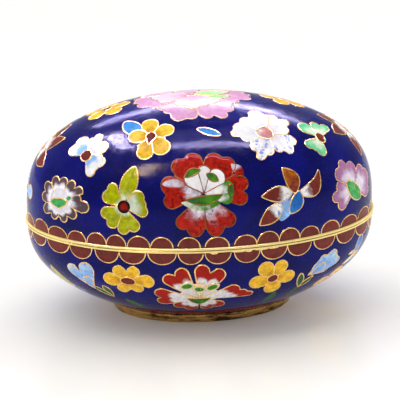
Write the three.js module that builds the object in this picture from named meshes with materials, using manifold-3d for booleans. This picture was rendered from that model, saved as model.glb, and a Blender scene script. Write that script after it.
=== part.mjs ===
// An oval lidded box in cloisonne enamel: a domed lid on a deep bowl, each a copper
// wall enamelled on both faces and edged with a brass rim, on a low brass foot ring.
// Millimetres, +Z up. The origin is at the middle of the foot's underside, +X runs
// along the oval's long axis, and the lid stands closed on the bowl.
import * as THREE from "three";
import { mergeVertices } from "three/addons/utils/BufferGeometryUtils.js";
import Module from "manifold-3d";

const wasm = await Module();
wasm.setup();

// Driving dimensions
const BODY_LENGTH = 100; // enamelled body, along X, at the parting plane
const BODY_WIDTH = 68; // and along Y
const LID_HEIGHT = 35.2; // parting plane up to the crown
const BOWL_DEPTH = 25; // parting plane down to the flat underside
const FOOT_HEIGHT = 2.6;
const WALL = 1.8; // copper sheet with a coat of enamel on each face

// The brass rims that meet at the parting plane
const RIM_HEIGHT = 0.7;
const RIM_PROUD = 0.3; // how far a rim stands out past the enamel
const RIM_EDGE = 0.2; // softened corner of a rim
const LIP_HEIGHT = 2; // locating lip of the bowl's rim, up inside the lid
const LIP_THICKNESS = 0.8;
const LIP_CLEARANCE = 0.4; // all round, between the lip and the lid

// The foot ring under the bowl
const FOOT_LENGTH = 52;
const FOOT_WIDTH = 35.2;
const FOOT_THICKNESS = 1.4;
const FOOT_EDGE = 0.35;

// Shape of the two profiles
const LID_RISE_POWER = 3.2; // high: the lid's wall stays steep before it rounds over
const LID_SPREAD_POWER = 1.7; // low: the crown falls away as a gentle dome
const BOWL_POWER = 2.5; // how late the bowl turns in towards its foot
const FLAT_SHARE = 0.525; // the flat underside as a share of the whole plan

// Fineness of the facets
const OVAL_STEPS = 64;
const LID_STEPS = 15;
const BOWL_STEPS = 10;
const INSIDE_LID_STEPS = 10;
const INSIDE_BOWL_STEPS = 8;
const EDGE_STEPS = 1;

// Levels and plans that follow from them
const PARTING_Z = FOOT_HEIGHT + BOWL_DEPTH;
const LID_WALL_Z = PARTING_Z + RIM_HEIGHT;
const BOWL_WALL_Z = PARTING_Z - RIM_HEIGHT;
const CUT_THROUGH = 1; // how far a hollow's cutter runs past the mouth
const MERGE_WITHIN = 1e-3; // corners closer than this are one corner
const BODY = new THREE.Vector2(BODY_LENGTH / 2, BODY_WIDTH / 2);
const FOOT = new THREE.Vector2(FOOT_LENGTH / 2, FOOT_WIDTH / 2);

// Half axes of an oval that lies a distance outside another, or inside it if negative
const grown = (plan, by) => plan.clone().addScalar(by);

// One point of the lid's profile: its share of the plan and of the rise, at a turn
// from 0 at the rim to a quarter turn at the crown
function lidPoint(turn) {
  const share = Math.max(Math.cos(turn), 0) ** (2 / LID_SPREAD_POWER);
  const rise = Math.sin(turn) ** (2 / LID_RISE_POWER);
  return { share, rise };
}

// The bowl's share of the plan at a share of its depth, 0 at the rim and 1 at the foot
const bowlShare = (drop) => 1 - (1 - FLAT_SHARE) * drop ** BOWL_POWER;

// A closed mesh as a solid that can be cut and joined
function solid(geometry) {
  geometry.deleteAttribute("normal");
  geometry.deleteAttribute("uv");
  const merged = mergeVertices(geometry, MERGE_WITHIN);
  const corners = merged.index.array;
  const kept = [];
  for (let i = 0; i < corners.length; i += 3) {
    const [a, b, c] = corners.slice(i, i + 3);
    if (a !== b && b !== c && c !== a) kept.push(a, b, c);
  }
  const vertProperties = new Float32Array(merged.getAttribute("position").array);
  const triVerts = new Uint32Array(kept);
  return new wasm.Manifold(new wasm.Mesh({ numProp: 3, vertProperties, triVerts }));
}

// A solid as a named mesh in its own material
function piece(name, made, material) {
  const { vertProperties, triVerts } = made.getMesh();
  const geometry = new THREE.BufferGeometry();
  geometry.setAttribute("position", new THREE.BufferAttribute(vertProperties, 3));
  geometry.setIndex(new THREE.BufferAttribute(triVerts, 1));
  geometry.computeVertexNormals();
  const mesh = new THREE.Mesh(geometry, material);
  mesh.name = name;
  return mesh;
}

// A profile of (share of the plan, height) turned into an oval solid
function ovalTurning(profile, plan) {
  const points = profile.map(([share, height]) => new THREE.Vector2(share, height));
  const turned = new THREE.LatheGeometry(points, OVAL_STEPS);
  return solid(turned.rotateX(Math.PI / 2).scale(plan.x, plan.y, 1));
}

// A flat oval band with softened edges, standing on a level
function ovalBand(outer, inner, level, height, edge) {
  const shape = new THREE.Shape();
  shape.absellipse(0, 0, outer.x - edge, outer.y - edge, 0, 2 * Math.PI);
  const hole = new THREE.Path();
  hole.absellipse(0, 0, inner.x + edge, inner.y + edge, 0, 2 * Math.PI);
  shape.holes.push(hole);
  const band = new THREE.ExtrudeGeometry(shape, {
    depth: height - 2 * edge,
    bevelThickness: edge,
    bevelSize: edge,
    bevelSegments: EDGE_STEPS,
    curveSegments: OVAL_STEPS / 2,
  });
  return solid(band.translate(0, 0, level + edge));
}

// The dome that bounds the lid outside, and its hollow inside
function lidDome(plan, height, skirt, steps) {
  const profile = [[0, LID_WALL_Z - skirt]];
  if (skirt > 0) profile.push([1, LID_WALL_Z - skirt]);
  for (let i = 0; i <= steps; i++) {
    const { share, rise } = lidPoint((i / steps) * (Math.PI / 2));
    profile.push([share, LID_WALL_Z + height * rise]);
  }
  return ovalTurning(profile, plan);
}

// The basin that bounds the bowl outside, and its hollow inside
function bowlBasin(plan, depth, skirt, steps) {
  const profile = [[0, BOWL_WALL_Z - depth]];
  for (let i = 0; i <= steps; i++) {
    const drop = 1 - i / steps;
    profile.push([bowlShare(drop), BOWL_WALL_Z - depth * drop]);
  }
  if (skirt > 0) profile.push([1, BOWL_WALL_Z + skirt]);
  profile.push([0, BOWL_WALL_Z + skirt]);
  return ovalTurning(profile, plan);
}

function lidShell() {
  const height = LID_HEIGHT - RIM_HEIGHT;
  const outside = lidDome(BODY, height, 0, LID_STEPS);
  const inside = lidDome(grown(BODY, -WALL), height - WALL, CUT_THROUGH, INSIDE_LID_STEPS);
  return outside.subtract(inside);
}

function bowlShell() {
  const depth = BOWL_DEPTH - RIM_HEIGHT;
  const outside = bowlBasin(BODY, depth, 0, BOWL_STEPS);
  const inside = bowlBasin(grown(BODY, -WALL), depth - WALL, CUT_THROUGH, INSIDE_BOWL_STEPS);
  return outside.subtract(inside);
}

function lidRim() {
  const outer = grown(BODY, RIM_PROUD);
  return ovalBand(outer, grown(BODY, -WALL), PARTING_Z, RIM_HEIGHT, RIM_EDGE);
}

// The bowl's rim carries the lip that keeps the lid in place
function bowlRim() {
  const lipOuter = grown(BODY, -WALL - LIP_CLEARANCE);
  const lipInner = grown(lipOuter, -LIP_THICKNESS);
  const seat = ovalBand(grown(BODY, RIM_PROUD), lipInner, BOWL_WALL_Z, RIM_HEIGHT, RIM_EDGE);
  const lip = ovalBand(lipOuter, lipInner, BOWL_WALL_Z, RIM_HEIGHT + LIP_HEIGHT, RIM_EDGE);
  return seat.add(lip);
}

function footRing() {
  return ovalBand(FOOT, grown(FOOT, -FOOT_THICKNESS), 0, FOOT_HEIGHT, FOOT_EDGE);
}

// Finishes: polished cobalt enamel, bright gilt rims and the duller brass of the foot
const finish = (color, roughness, metalness) =>
  new THREE.MeshStandardMaterial({ color, roughness, metalness });
const enamel = () => finish(0x14145a, 0.15, 0);
const giltBrass = () => finish(0xf2c766, 0.25, 1);
const agedBrass = () => finish(0x9a7434, 0.4, 1);

const lid = new THREE.Group();
lid.add(piece("lid_shell", lidShell(), enamel()));
lid.add(piece("lid_rim", lidRim(), giltBrass()));

const bowl = new THREE.Group();
bowl.add(piece("bowl_shell", bowlShell(), enamel()));
bowl.add(piece("bowl_rim", bowlRim(), giltBrass()));
bowl.add(piece("foot_ring", footRing(), agedBrass()));

const box = new THREE.Group();
box.add(lid, bowl);

export default box;
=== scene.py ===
"""An oval cloisonne box: enamelled lid and bowl with wire-edged flowers, gilt rims and a brass foot.

Places and sizes of the ornament are in millimetres on the enamel's surface; meshes are in metres.
"""
import math
import random

import bmesh
import bpy
from bpy.props import FloatProperty, FloatVectorProperty, PointerProperty
from bpy.types import Operator, Panel, PropertyGroup
from mathutils import Matrix, Vector, noise
from mathutils.bvhtree import BVHTree


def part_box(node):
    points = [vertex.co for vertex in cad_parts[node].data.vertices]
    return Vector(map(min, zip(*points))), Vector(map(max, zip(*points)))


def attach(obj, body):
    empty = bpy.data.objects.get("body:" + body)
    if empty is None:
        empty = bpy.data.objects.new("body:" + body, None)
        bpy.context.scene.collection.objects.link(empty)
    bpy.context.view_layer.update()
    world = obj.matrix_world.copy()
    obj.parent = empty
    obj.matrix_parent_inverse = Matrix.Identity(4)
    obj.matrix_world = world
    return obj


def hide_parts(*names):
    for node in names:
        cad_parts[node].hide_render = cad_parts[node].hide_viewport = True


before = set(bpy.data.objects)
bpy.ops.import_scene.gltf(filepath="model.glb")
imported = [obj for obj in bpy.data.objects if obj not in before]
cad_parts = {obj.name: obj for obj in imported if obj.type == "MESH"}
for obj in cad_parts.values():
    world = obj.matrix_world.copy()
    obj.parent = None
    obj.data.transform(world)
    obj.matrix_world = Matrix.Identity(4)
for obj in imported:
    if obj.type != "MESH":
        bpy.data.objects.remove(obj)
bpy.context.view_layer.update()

bl_info = {
    "name": "Cloisonne Box",
    "version": (1, 0, 0),
    "blender": (4, 5, 0),
    "location": "3D View > Sidebar > Cloisonne Box",
    "description": "Builds an oval cloisonne enamel box round its CAD frame",
    "category": "Object",
}

MM = 0.001
TAU = 2 * math.pi
BODY = "root"

LID_LOW, LID_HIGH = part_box("lid_shell")
BOWL_LOW, BOWL_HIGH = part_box("bowl_shell")
LID_RIM_LOW, LID_RIM_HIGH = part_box("lid_rim")
BOWL_RIM_LOW, BOWL_RIM_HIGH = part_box("bowl_rim")
FOOT_LOW, FOOT_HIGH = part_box("foot_ring")
PLAN = Vector((LID_HIGH.x, LID_HIGH.y))  # half axes of the enamelled body
FOOT_PLAN = Vector((FOOT_HIGH.x, FOOT_HIGH.y))
PARTING_Z = LID_RIM_LOW.z

# Shape of the two profiles, as in the solids
LID_RISE_POWER = 3.2
LID_SPREAD_POWER = 1.7
BOWL_POWER = 2.5
FLAT_SHARE = 0.525

# Fineness of the meshes
OVAL_STEPS = 200
LID_STEPS = 60
BOWL_STEPS = 40
INSIDE_STEPS = 24
FLAT_STEPS = 6
ROUND_STEPS = 4
RIM_STEPS = 1440
CELL_ACROSS = 22
CELL_ALONG = 10

# How the ornament lies in the enamel
BED = 0.03 * MM  # lowest cells above the cobalt ground
LAYER = 0.065 * MM  # each further layer of cells, enough to cover the wires below
CELL_DEPTH = 0.4 * MM  # how deep a cell reaches into the ground
PLUMB = 12 * MM  # drop from above the enamel when a point is laid on it
LID_BACK_RISE = 0.3  # the back's flowers stand this much higher, in mm, clear of their own scallops
BOWL_BACK_RISE = -0.4
WIRE_STEP = 0.12 * MM  # points of a wire that lie closer than this are one
WIRE_WAVER = 0.22  # how much a wire's gauge varies, as a share, and over what length
WAVER_LENGTH = 1.5 * MM
SCALLOP_STRAY = 0.05  # how far a scallop of the back strays from its place, as a share of the pitch
SCALLOP_SHARE = 0.92  # width of a scallop of the back, as a share of the pitch
SCALLOP_HEIGHTS = (0.92, 1.12)  # lowest and highest, as shares of the stated height

# Edges and surfaces
RIM_ROUNDING = 0.34 * MM
FOOT_ROUNDING = 0.65 * MM
RIM_UNEVEN = 0.05 * MM
FOOT_UNEVEN = 0.06 * MM
WOBBLE_ROUND = 9  # how quickly the unevenness changes round the oval, and up a metre of height
WOBBLE_UP = 600
BASE_BAND = 2.6 * MM  # height of the dark red band on the bowl just above the foot
BASE_LIFT = 0.002  # how far it lies above the ground and how deep it goes, as shares of the plan
BASE_DEPTH = 0.008
ENAMEL_WAVES = 180  # slow waves and small pits of the polished enamel, to a metre, and their depths
ENAMEL_PITS = 2600
WAVE_DEPTH = 0.09 * MM
PIT_DEPTH = 0.02 * MM
DENT_DEPTH = 0.02 * MM
SEAM_INSIDE, SEAM_OUTSIDE = 0.04 * MM, 0.18 * MM  # where the painted shade and grime between the rims is full, and ends


def srgb(red, green, blue):
    """A colour as seen on screen, 0 to 255, in the linear values that shaders take."""
    shares = (value / 255 for value in (red, green, blue))
    return tuple(s / 12.92 if s <= 0.04045 else ((s + 0.055) / 1.055) ** 2.4 for s in shares)


def size(name, description, millimetres):
    length = millimetres * MM
    return FloatProperty(name=name, description=description, default=length, unit="LENGTH", precision=5)


def colour(name, description, *screen):
    return FloatVectorProperty(
        name=name, description=description, default=srgb(*screen), subtype="COLOR", size=3, min=0, max=1
    )


class BoxSizes(PropertyGroup):
    """Sizes of the box's ornament and edges"""

    ground_sink: size("Ground sink", "How far the cobalt ground lies under the finished surface", 0.24)
    wall: size("Wall", "Thickness of the enamelled copper wall", 1.8)
    wire: size("Wire", "Width of the gilt wire round a cell", 0.5)
    wire_proud: size("Wire proud", "How far the wire stands out of the enamel", 0.06)
    lip: size("Lip", "Thickness of the lip that locates the lid", 0.8)
    lip_gap: size("Lip gap", "Clearance between the lip and the lid", 0.4)
    foot_band: size("Foot band", "Thickness of the foot ring", 1.4)
    lid_scallop: size("Lid scallop", "Height of a border scallop on the lid", 3.0)
    bowl_scallop: size("Bowl scallop", "Height of a border scallop on the bowl", 3.3)


class BoxColours(PropertyGroup):
    """Colours of the enamels and metals"""

    cobalt: colour("Cobalt", "Ground enamel", 8, 13, 111)
    maroon: colour("Maroon", "Border scallops and flower eyes", 112, 50, 44)
    garnet: colour("Garnet", "Dark band above the foot", 116, 22, 24)
    yellow: colour("Yellow", "Plum blossom", 242, 192, 52)
    honey: colour("Honey", "Thin places in the yellow", 204, 140, 16)
    red: colour("Red", "Peony and lotus petals", 174, 30, 16)
    ruby: colour("Ruby", "Eye of the yellow-green flower", 140, 22, 14)
    white: colour("White", "White enamel", 240, 240, 244)
    lilac: colour("Lilac", "Thin places in the white", 212, 204, 220)
    pink: colour("Pink", "Crown peony", 216, 156, 202)
    blush: colour("Blush", "Inner petals of the crown peony", 228, 202, 222)
    mauve: colour("Mauve", "Mauve petals", 160, 108, 150)
    rose: colour("Rose", "Eye of the white flower", 194, 128, 128)
    brown: colour("Brown", "Orchid petals", 116, 46, 38)
    amber: colour("Amber", "Upright orchid petal", 172, 92, 20)
    smoke: colour("Smoke", "Edges of the grey flower", 84, 68, 76)
    soot: colour("Soot", "Blackened edges of an eye", 26, 16, 14)
    green: colour("Green", "Leaves and boats", 66, 134, 26)
    jade: colour("Jade", "Green flower eyes", 66, 158, 88)
    mint: colour("Mint", "Mint flower", 100, 206, 148)
    spring: colour("Spring", "Leaves of the crown peony", 160, 222, 132)
    pale: colour("Pale", "Thin places in green and blue", 216, 228, 206)
    olive: colour("Olive", "Yellow-green flower and leaves", 166, 172, 0)
    fern: colour("Fern", "Dark stems on the bowl", 46, 96, 56)
    sky: colour("Sky", "Bright blue leaves", 54, 136, 212)
    azure: colour("Azure", "Lip of the orchid", 34, 100, 176)
    haze: colour("Haze", "Light blue petals", 140, 184, 242)
    indigo: colour("Indigo", "Blue streaks and specks", 74, 104, 214)
    gilt: colour("Gilt", "Wires", 252, 210, 138)
    rim: colour("Rim", "Gilt rims", 255, 232, 150)
    tarnish: colour("Tarnish", "Browned wires", 128, 86, 44)
    brass: colour("Brass", "Foot ring", 186, 146, 82)
    patina: colour("Patina", "Brown in the corners of the brass", 62, 38, 16)


class Finish:
    """A node material put together round one Principled shader."""

    def __init__(self, name, **sockets):
        self.material = bpy.data.materials.new(name)
        self.material.use_nodes = True
        self.tree = self.material.node_tree
        self.tree.nodes.clear()
        named = {key.replace("_", " "): value for key, value in sockets.items()}
        self.shader = self.node("ShaderNodeBsdfPrincipled", named)
        self.node("ShaderNodeOutputMaterial", {"Surface": self.shader.outputs["BSDF"]})
        self.place = self.node("ShaderNodeTexCoord").outputs["Object"]

    def node(self, kind, sockets=None, **settings):
        node = self.tree.nodes.new(kind)
        for key, value in settings.items():
            setattr(node, key, value)
        for socket, value in (sockets or {}).items():
            if isinstance(value, bpy.types.NodeSocket):
                self.tree.links.new(value, node.inputs[socket])
            else:
                node.inputs[socket].default_value = value
        return node

    def give(self, socket, value):
        self.tree.links.new(value, self.shader.inputs[socket])

    def grain(self, scale, detail=3.0, rough=0.55):
        """Cloudy noise through the piece, a value about one half."""
        sockets = {"Vector": self.place, "Scale": scale, "Detail": detail, "Roughness": rough}
        return self.node("ShaderNodeTexNoise", sockets).outputs["Fac"]

    def fit(self, value, low, high, to_low=0.0, to_high=1.0):
        """A value mapped from one range to another, held at the ends."""
        sockets = {"Value": value, "From Min": low, "From Max": high, "To Min": to_low, "To Max": to_high}
        return self.node("ShaderNodeMapRange", sockets, interpolation_type="SMOOTHSTEP").outputs["Result"]

    def reckon(self, operation, *values):
        """The result of a Math node."""
        return self.node("ShaderNodeMath", dict(enumerate(values)), operation=operation).outputs[0]

    def sum(self, first, second, factor=1.0):
        return self.reckon("MULTIPLY_ADD", second, factor, first)

    def times(self, first, second):
        return self.reckon("MULTIPLY", first, second)

    def blend(self, factor, first, second):
        """One colour fading into another."""
        node = self.node("ShaderNodeMix", data_type="RGBA")
        for index, value in ((0, factor), (6, first), (7, second)):
            if isinstance(value, bpy.types.NodeSocket):
                self.tree.links.new(value, node.inputs[index])
            else:
                node.inputs[index].default_value = value if index == 0 else (*value, 1)
        return node.outputs[2]

    def bump(self, height, distance, strength=1.0, under=None):
        sockets = {"Height": height, "Distance": distance, "Strength": strength}
        if under:
            sockets["Normal"] = under
        return self.node("ShaderNodeBump", sockets).outputs["Normal"]

    def polish(self):
        """The ground and polished surface of fired enamel: slow waves and small pits."""
        waves = self.bump(self.grain(ENAMEL_WAVES), WAVE_DEPTH)
        pits = self.fit(self.grain(ENAMEL_PITS, 2), 0.30, 0.40)
        self.give("Normal", self.bump(pits, PIT_DEPTH, 0.6, waves))
        self.give("Roughness", self.fit(self.grain(300), 0.35, 0.7, 0.1, 0.2))


SHINE = {"IOR": 1.5, "Specular_IOR_Level": 0.12}
ENAMEL_DUST = srgb(70, 70, 150)
# Colour of the painted shade and grime in the groove where the two rims meet
SEAM_SHADE_AND_GRIME = srgb(112, 72, 28)


def scaled(shade, by):
    return tuple(by * value for value in shade)


def cobalt_enamel(name, cobalt):
    """The deep blue ground, darker in clouds and with fine pale dust in it."""
    finish = Finish(name, **SHINE)
    ground = finish.blend(finish.fit(finish.grain(90, 4), 0.35, 0.7), scaled(cobalt, 0.55), cobalt)
    dust = finish.fit(finish.grain(5200, 1), 0.68, 0.78)
    finish.give("Base Color", finish.blend(dust, ground, ENAMEL_DUST))
    finish.polish()
    return finish.material


def glaze(name, root, tip, turn, soft, ragged, cloud=0.25, speck=None, share=0.6, grit=1100, rim=False):
    """Coloured enamel in a cell, from root to tip or to rim, with the uneven join of two wet glazes."""
    finish = Finish(name, **SHINE)
    uv = finish.node("ShaderNodeSeparateXYZ", {0: finish.node("ShaderNodeTexCoord").outputs["UV"]})
    along = uv.outputs[1]
    if rim:
        aside = finish.reckon("ABSOLUTE", finish.reckon("MULTIPLY_ADD", uv.outputs[0], 2.0, -1.0))
        along = finish.reckon("SMOOTH_MAX", along, aside, 0.3)
    front = finish.sum(along, finish.grain(420, 3), ragged)
    middle = turn + ragged / 2
    shade = finish.blend(finish.fit(front, middle - soft, middle + soft), root, tip)
    clouds = finish.fit(finish.grain(650, 5, 0.65), 0.3, 0.7, 1 - cloud, 1 + cloud)
    tint = finish.node("ShaderNodeAttribute", attribute_name="tint").outputs["Fac"]
    value = finish.times(clouds, tint)
    base = finish.node("ShaderNodeHueSaturation", {"Value": value, "Color": shade}).outputs["Color"]
    if speck:
        grains = finish.fit(finish.grain(grit, 4, 0.6), 0.54, 0.64, 0, share)
        base = finish.blend(grains, base, speck)
    finish.give("Base Color", base)
    finish.polish()
    return finish.material


def metal(name, bright, dull, spots, rough_low, rough_high, scale, metallic=0.8, streak=1.0, seam=None):
    """Brass that is bright where it is rubbed, dull in cloudy patches, and darkened along a seam's level
    with painted shade and grime.
    """
    finish = Finish(name, Metallic=metallic)
    sockets = {"Vector": finish.place, "Scale": (1, 1, streak)}
    finish.place = finish.node("ShaderNodeMapping", sockets).outputs["Vector"]
    patches = finish.fit(finish.grain(scale, 5, 0.7), 1 - spots, 1.15 - spots)
    base = finish.blend(patches, bright, dull)
    # A dark line of painted shade and grime along the groove at the seam's level, where the rims meet
    if seam:
        level = finish.node("ShaderNodeSeparateXYZ", {0: finish.place}).outputs[2]
        apart = finish.reckon("ABSOLUTE", finish.sum(level, -seam))
        line = finish.fit(apart, SEAM_INSIDE, SEAM_OUTSIDE, 0.9, 0)
        base = finish.blend(finish.times(line, finish.fit(finish.grain(30), 0.4, 0.55)), base, SEAM_SHADE_AND_GRIME)
    finish.give("Base Color", base)
    finish.give("Roughness", finish.fit(finish.grain(scale * 3), 0.3, 0.7, rough_low, rough_high))
    dents = finish.grain(scale * 2, 2)
    finish.give("Normal", finish.bump(dents, DENT_DEPTH, 0.5))
    return finish.material


RIM_GLAZES = ("smear", "mauve", "mint")  # these turn from one colour to the other towards the whole rim


class Palette:
    """Every finish of the box, made once and fetched by name."""

    def __init__(self, s):
        self.cobalt = s.cobalt
        dark_red = scaled(s.red, 0.16)
        milk = tuple((thin + full) / 2 for thin, full in zip(s.lilac, s.white))
        # Colours at root and tip, where one turns to the other, how softly and how raggedly,
        # how cloudy, and the colour, share and fineness of specks
        self.glazes = {
            "yellow": (s.honey, s.yellow, 0.3, 0.35, 1.0, 0.22, s.honey, 0.5),
            "red": (s.lilac, s.red, 0.42, 0.14, 0.7, 0.35, dark_red, 0.7),
            "low red": (s.lilac, s.red, 0.56, 0.16, 0.6, 0.35, dark_red, 0.7, 800),
            "red tips": (s.white, s.red, 0.66, 0.07, 0.25, 0.16, dark_red, 0.22, 1500),
            "white": (s.lilac, s.white, 0.2, 0.4, 0.8, 0.06),
            "bud": (s.green, s.pale, 0.72, 0.14, 0.4),
            "smear": (s.lilac, s.red, 0.74, 0.28, 0.7, 0.25),
            "moss": (s.green, s.pale, 0.5, 0.3, 1.4, 0.2),
            "leafy white": (s.white, s.green, 0.72, 0.16, 0.7, 0.12),
            "mist": (milk, s.lilac, 1.0, 0.5, 0.9, 0.1),
            "streaked": (s.lilac, s.white, 0.3, 0.4, 0.8, 0.06, s.indigo, 0.8, 520),
            "white blue": (s.haze, s.white, 0.5, 0.16, 0.5, 0.1),
            "pink": (s.blush, s.pink, 0.48, 0.34, 0.7, 0.12),
            "blush": (s.pink, s.blush, 0.3, 0.3, 0.5, 0.06),
            "spring": (s.spring, s.pale, 0.6, 0.4, 0.9, 0.15),
            "mauve": (s.lilac, s.mauve, 0.62, 0.2, 0.5, 0.15),
            "rose": (s.lilac, s.rose, 0.2, 0.4, 1.0, 0.2),
            "brown": (s.white, s.brown, 0.42, 0.07, 0.3, 0.2),
            "amber": (s.brown, s.amber, 0.4, 0.2, 0.9, 0.4, s.brown, 0.6),
            "smoke": (milk, s.smoke, 0.4, 0.24, 0.9, 0.1),
            "green": (s.fern, s.green, 0.4, 0.3, 0.9, 0.35),
            "jade": (s.jade, s.fern, 0.95, 0.3, 0.8, 0.3),
            "mint": (s.pale, s.mint, 0.6, 0.3, 0.7, 0.15),
            "olive": (s.pale, s.olive, 0.24, 0.14, 0.5, 0.3, s.pale, 0.1),
            "pale olive": (s.pale, s.olive, 0.66, 0.2, 0.4, 0.15),
            "fern": (s.fern, s.green, 0.9, 0.4, 1.0, 0.35),
            "sky": (s.sky, s.haze, 0.8, 0.4, 1.2, 0.2),
            "azure": (s.azure, s.sky, 0.75, 0.25, 0.6, 0.25),
            "haze": (s.haze, s.pale, 1.0, 0.4, 0.9, 0.15, s.indigo, 0.55),
            "bleed": (s.azure, s.haze, 0.35, 0.25, 0.8, 0.3),
            "maroon": (s.maroon, s.garnet, 0.7, 0.5, 1.0, 0.18),
            "garnet": (s.garnet, s.soot, 0.8, 0.4, 1.0),
            "ruby": (s.ruby, s.soot, 0.5, 0.26, 0.7, 0.3, s.soot, 0.6),
        }
        # Bright and dull colour, share of dull patches, lowest and highest roughness, patches to a metre,
        # how metallic, how much the patches are drawn out sideways, and the level of a seam darkened with
        # painted shade and grime
        self.metals = {
            "gilt": (s.gilt, scaled(s.gilt, 0.55), 0.34, 0.2, 0.36, 500),
            "old gilt": (scaled(s.gilt, 0.6), s.tarnish, 0.34, 0.2, 0.36, 500),
            "tarnish": (s.tarnish, s.patina, 0.4, 0.3, 0.5, 500),
            "rim gilt": (s.rim, s.gilt, 0.34, 0.16, 0.28, 90, 0.35, 1.0, PARTING_Z),
            "old brass": (s.brass, s.patina, 0.55, 0.14, 0.3, 150, 0.8, 6),
        }

    def __getitem__(self, name):
        label = name.replace(" ", "_")
        if label in bpy.data.materials:
            return bpy.data.materials[label]
        if name == "cobalt":
            return cobalt_enamel(label, self.cobalt)
        if name in self.metals:
            return metal(label, *self.metals[name])
        return glaze(label, *self.glazes[name], rim=name in RIM_GLAZES)


def sizes():
    return bpy.context.scene.box_sizes


def palette():
    return Palette(bpy.context.scene.box_colours)


def add_piece(bm, name, finishes, replaces=None):
    """A finished mesh as a smooth object that rides with the box."""
    mesh = bpy.data.meshes.new(name)
    bm.to_mesh(mesh)
    bm.free()
    mesh.shade_smooth()
    piece = bpy.data.objects.new(name, mesh)
    bpy.context.scene.collection.objects.link(piece)
    paint = palette()
    for finish in finishes:
        mesh.materials.append(paint[finish])
    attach(piece, BODY)
    if replaces:
        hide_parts(replaces)
    return piece


def turned(profile, closed=False):
    """A profile of (radius, height) turned about the upright axis."""
    bm = bmesh.new()
    line = [bm.verts.new((radius, 0, height)) for radius, height in profile]
    pairs = list(zip(line, line[1:])) + ([(line[-1], line[0])] if closed else [])
    edges = [bm.edges.new(pair) for pair in pairs]
    bmesh.ops.spin(
        bm, geom=line + edges, cent=(0, 0, 0), axis=(0, 0, 1), angle=TAU, steps=OVAL_STEPS, use_merge=True
    )
    bmesh.ops.remove_doubles(bm, verts=bm.verts[:], dist=1e-7)
    bmesh.ops.recalc_face_normals(bm, faces=bm.faces[:])
    return bm


def lid_profile(level, height, steps):
    """Share of the plan and height, from the mouth up to the crown."""
    points = []
    for i in range(steps + 1):
        turn = i / steps * math.pi / 2
        share = max(math.cos(turn), 0.0) ** (2 / LID_SPREAD_POWER)
        points.append((share, level + height * math.sin(turn) ** (2 / LID_RISE_POWER)))
    return points


def bowl_profile(level, depth, steps):
    """Share of the plan and height, from the mouth down to the middle of the floor."""
    points = []
    for i in range(steps + 1):
        drop = i / steps
        points.append((1 - (1 - FLAT_SHARE) * drop**BOWL_POWER, level - depth * drop))
    flat = [(FLAT_SHARE * (1 - i / FLAT_STEPS), level - depth) for i in range(1, FLAT_STEPS + 1)]
    return points + flat


def shell(profile, plan, inner_profile, inner_plan):
    """Outer and inner walls turned to an oval and joined round the mouth."""
    bm = turned(inner_profile)
    bmesh.ops.scale(bm, vec=(inner_plan.x, inner_plan.y, 1), verts=bm.verts[:])
    inner = bpy.data.meshes.new("inner wall")
    bm.to_mesh(inner)
    bm.free()
    bm = turned(profile)
    bmesh.ops.scale(bm, vec=(plan.x, plan.y, 1), verts=bm.verts[:])
    bm.from_mesh(inner)
    bpy.data.meshes.remove(inner)
    mouths = [edge for edge in bm.edges if edge.is_boundary]
    bmesh.ops.bridge_loops(bm, edges=mouths)
    bmesh.ops.recalc_face_normals(bm, faces=bm.faces[:])
    return bm


def grown(plan, by):
    return Vector((plan.x + by, plan.y + by))


def rounded(corners, radius):
    """A section with its corners softened by short curves."""
    points = []
    for before, corner, after in zip(corners[-1:] + corners[:-1], corners, corners[1:] + corners[:1]):
        corner, sides = Vector(corner), [Vector(before), Vector(after)]
        ends = [corner + (side - corner).normalized() * radius for side in sides]
        for i in range(ROUND_STEPS + 1):
            share = i / ROUND_STEPS
            points.append(ends[0].lerp(corner, share).lerp(corner.lerp(ends[1], share), share))
    return [(point.x, point.y) for point in points]


def oval_band(section, plan, uneven):
    """A ring of one section, out from an oval plan, with the small unevenness of hand work."""
    bm = turned([(plan.x + out, height) for out, height in section], closed=True)
    for vert in bm.verts:
        turn = math.atan2(vert.co.y, vert.co.x)
        out = math.hypot(vert.co.x, vert.co.y) - plan.x
        normal = Vector((math.cos(turn) / plan.x, math.sin(turn) / plan.y)).normalized()
        round_x, round_y = math.cos(turn) * WOBBLE_ROUND, math.sin(turn) * WOBBLE_ROUND
        out += noise.noise(Vector((round_x, round_y, vert.co.z * WOBBLE_UP))) * uneven
        vert.co.x = plan.x * math.cos(turn) + normal.x * out
        vert.co.y = plan.y * math.sin(turn) + normal.y * out
    return bm


class Cell:
    """A cell of enamel: where each point of a unit square comes to lie, and the wire round it."""

    def __init__(self, point, wire="closed"):
        self.point = point
        self.wire = wire

    def edge(self):
        """The way round the cell: up one side, along the far edge and back down the other."""
        steps = [i / CELL_ACROSS for i in range(CELL_ACROSS + 1)]
        if self.wire == "round":
            way = [(u, 1) for u in steps]
        else:
            way = [(0, v) for v in steps] + [(u, 1) for u in steps] + [(1, v) for v in reversed(steps)]
        return [self.point(u, v) for u, v in way]


def petal(*lobes, hub=0.0, span=None, wire="closed"):
    """A petal that fans out from its flower's hub to round lobes: (bearing, distance, radius)."""
    first, last = (math.radians(bearing) for bearing in span or span_of(lobes))
    rounds = [(math.radians(bearing), far, radius) for bearing, far, radius in lobes]

    def out_to(bearing):
        found = []
        for middle, far, radius in rounds:
            aside = abs(far * math.sin(bearing - middle))
            if aside <= radius:
                found.append(far * math.cos(bearing - middle) + math.sqrt(radius**2 - aside**2))
        if found:
            return max(found)
        _, far, radius = min(rounds, key=lambda lobe: abs(bearing - lobe[0]) - math.asin(lobe[2] / lobe[1]))
        return math.sqrt(far**2 - radius**2)

    def point(u, v):
        bearing = (first + last) / 2 - (last - first) / 2 * math.cos(math.pi * u)
        out = hub + v * (out_to(bearing) - hub)
        return (out * math.cos(bearing), out * math.sin(bearing))

    return Cell(point, wire)


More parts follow.
